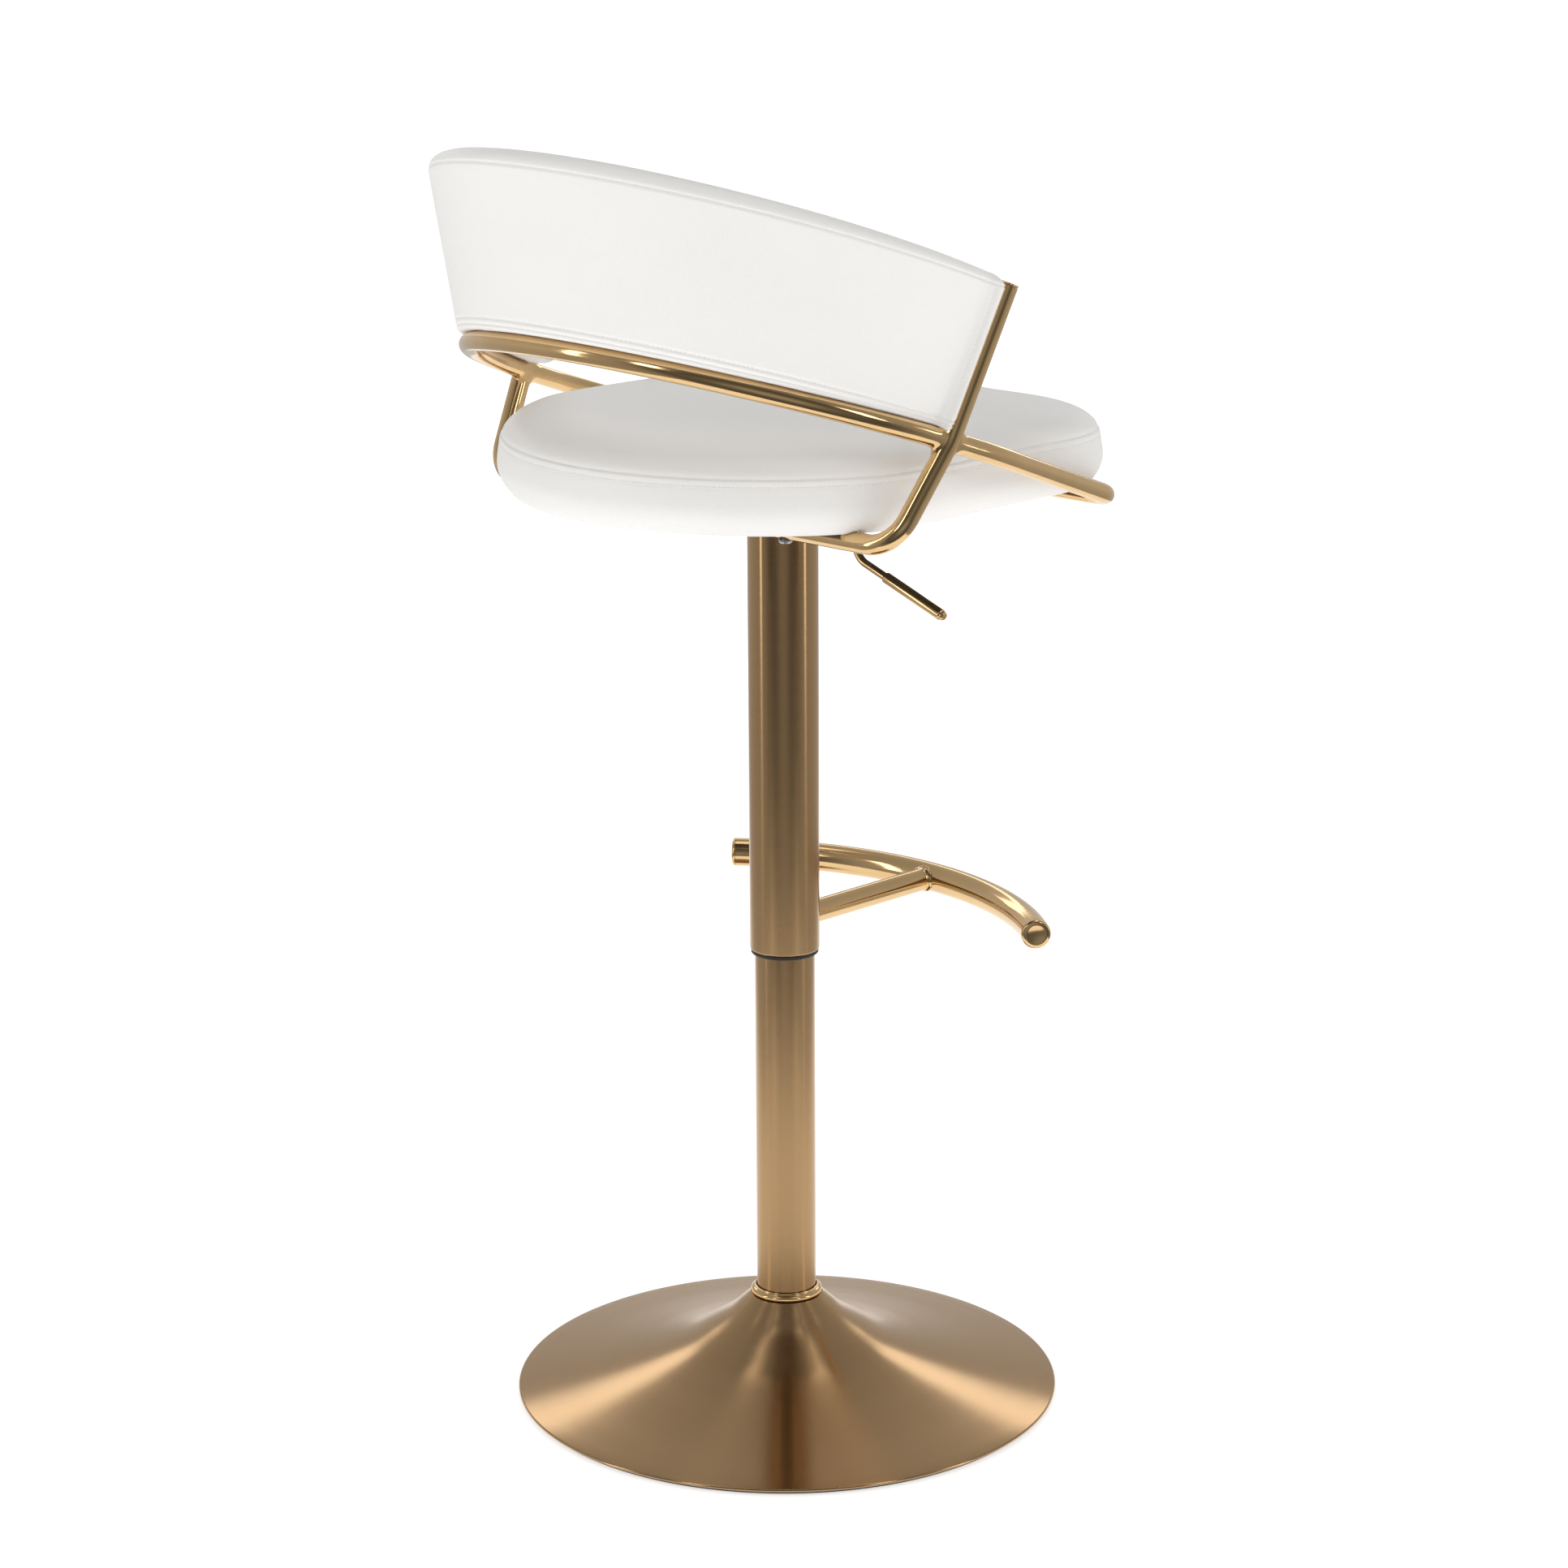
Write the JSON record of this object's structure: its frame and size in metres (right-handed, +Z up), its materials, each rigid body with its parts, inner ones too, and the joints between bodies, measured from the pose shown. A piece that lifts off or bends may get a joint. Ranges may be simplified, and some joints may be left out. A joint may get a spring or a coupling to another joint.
{
  "type": "bar stool",
  "caption": "Gas-lift bar stool: flared pedestal, swivelling and rising column, curved footrest, tube frame, padded seat and low wrap-round back.",
  "frame": {"origin": "centre of the base on the floor, on the column's axis", "axes": "+Z up along the column, the sitter faces -Y, the backrest is at +Y, the lever is at -X"},
  "size_m": [0.5238, 0.5047, 1.0497],
  "materials": {
    "brushed_gold": "brushed bronze-gold plating",
    "polished_gold": "polished gold plating",
    "steel": "zinc-plated steel",
    "black_iron": "black painted",
    "black_plastic": "matt moulded",
    "plywood": "raw plywood",
    "white_leather": "warm white coated leather over foam",
    "dark_felt": "non-woven dust cover"
  },
  "bodies": {
    "base": {"floor_pad": "black_plastic", "base_weight": "black_iron", "base_shell": "brushed_gold", "base_collar": "polished_gold", "column_flange": "steel", "flange_bolt_1": "steel", "flange_bolt_2": "steel", "flange_bolt_3": "steel", "flange_bolt_4": "steel", "column_tube": "brushed_gold", "rod_seat": "steel", "thrust_washer_lower": "steel", "thrust_bearing_cage": "steel", "guide_bushing": "black_plastic"},
    "piston": {"piston_rod": "steel", "thrust_washer_upper": "steel", "retaining_clip": "steel"},
    "seat_frame": {"sleeve": "brushed_gold", "footrest_bar": "polished_gold", "footrest_cap_right": "polished_gold", "footrest_cap_left": "polished_gold", "footrest_bracket": "polished_gold", "carrier_tube": "polished_gold", "back_rail_tube": "polished_gold", "arm_loop_tube": "polished_gold", "post_plug_right": "polished_gold", "post_plug_left": "polished_gold", "gas_cylinder": "steel", "taper_socket": "steel", "lever_pivot_pin": "steel", "plate_bolt_1": "steel", "plate_bolt_2": "steel", "plate_bolt_3": "steel", "plate_bolt_4": "steel", "frame_bolt_1": "steel", "frame_bolt_2": "steel", "frame_bolt_3": "steel", "frame_bolt_4": "steel", "backrest_strap_right": "steel", "backrest_strap_left": "steel", "backrest_screw_lower_right": "steel", "backrest_screw_lower_left": "steel", "backrest_screw_upper_right": "steel", "backrest_screw_upper_left": "steel", "mounting_plate": "black_iron", "mechanism_housing": "black_iron", "sleeve_bushing": "black_plastic", "sleeve_cap": "black_plastic", "seat_board": "plywood", "backrest_board": "plywood", "seat_cushion": "white_leather", "backrest_rear_pad": "white_leather", "backrest_front_pad": "white_leather", "dust_cover": "dark_felt"},
    "lever": {"lever_rocker": "steel", "lever_rod": "polished_gold", "lever_grip": "polished_gold"},
    "valve": {"valve_button": "steel"}
  },
  "joints": [
    {"name": "seat_swivel", "type": "hinge", "parent": "base", "child": "piston", "pos_m": [0, 0, 0.0275], "axis": [0, 0, 1], "continuous": true},
    {"name": "height_lift", "type": "slide", "parent": "piston", "child": "seat_frame", "axis": [0, 0, 1], "range_m": [-0.215, 0]},
    {"name": "lever_pull", "type": "hinge", "parent": "seat_frame", "child": "lever", "pos_m": [-0.032, 0, 0.757], "axis": [0, 1, 0], "range_deg": [0, 7], "stiffness_Nm_per_rad": 0.5, "springref_deg": -11.46},
    {"name": "valve_press", "type": "slide", "parent": "seat_frame", "child": "valve", "axis": [0, 0, 1], "range_m": [-0.004, 0]}
  ],
  "couplings": [
    {"joint": "valve_press", "follows": "lever_pull", "m_per_rad": -0.032}
  ]
}
